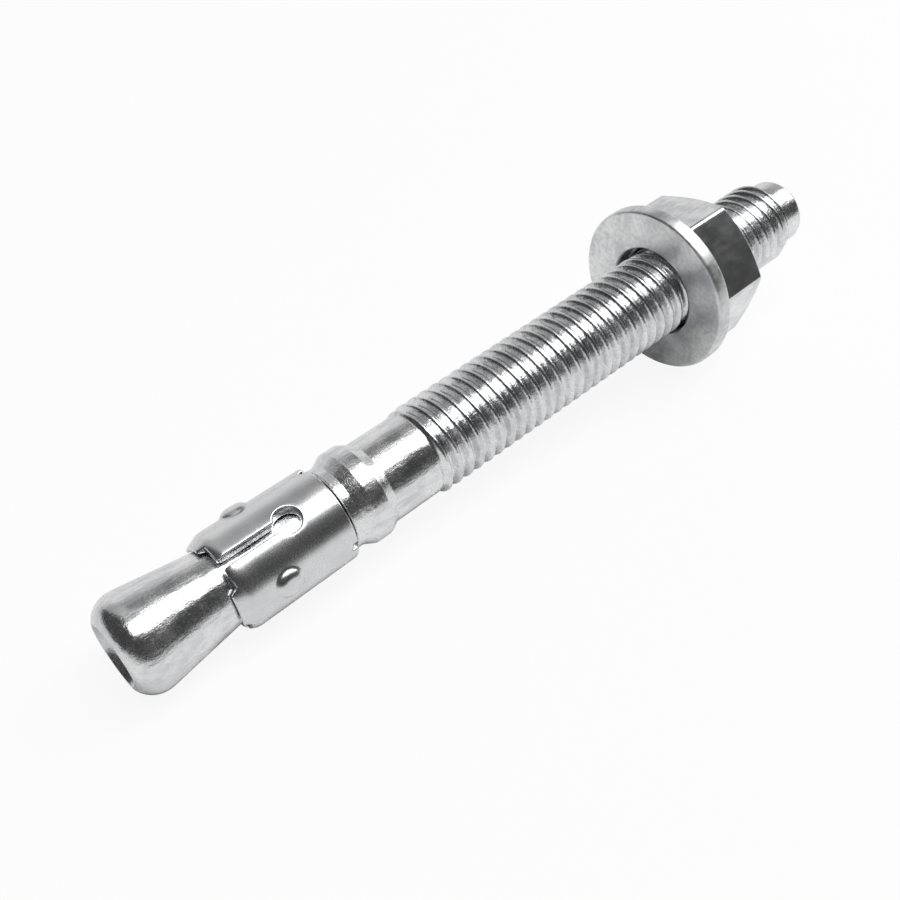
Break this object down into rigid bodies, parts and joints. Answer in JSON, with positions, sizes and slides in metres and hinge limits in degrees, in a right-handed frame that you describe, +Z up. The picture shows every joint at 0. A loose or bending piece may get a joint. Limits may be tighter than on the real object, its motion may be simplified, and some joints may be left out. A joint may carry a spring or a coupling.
{
  "type": "wedge anchor",
  "caption": "Wedge anchor: tapered stud with a slotted expansion clip behind its cone, and a washer and hex nut on the threaded end, for fixing into a drilled hole.",
  "frame": {"origin": "centre of the cone end face, on the bolt axis", "axes": "+Z up; the bolt lies in the XZ plane and rises 4.30 degrees from +X towards the threaded end, as it rests on its washer rim and cone edge"},
  "size_m": [0.1138, 0.0252, 0.0252],
  "materials": {
    "anchor_bolt": "bright zinc plated",
    "expansion_clip": "bright zinc plated sheet",
    "washer": "zinc plated, tumbled",
    "hex_nut": "bright zinc plated"
  },
  "bodies": {
    "bolt": {"anchor_bolt": "anchor_bolt"},
    "clip": {"expansion_clip": "expansion_clip"},
    "washer_ring": {"washer": "washer"},
    "nut": {"hex_nut": "hex_nut"}
  },
  "joints": [
    {"name": "clip_turn", "type": "hinge", "parent": "bolt", "child": "clip", "pos_m": [0, 0, 0], "axis": [0.9972, 0, 0.075], "continuous": true},
    {"name": "washer_travel", "type": "slide", "parent": "bolt", "child": "washer_ring", "axis": [0.9972, 0, 0.075], "range_m": [-0.0428, 0.0211]},
    {"name": "nut_turn", "type": "hinge", "parent": "washer_ring", "child": "nut", "pos_m": [0, 0, 0], "axis": [0.9972, 0, 0.075], "range_deg": [-8784, 4320]}
  ],
  "couplings": [
    {"joint": "washer_travel", "follows": "nut_turn", "m_per_rad": 0.00027852}
  ]
}
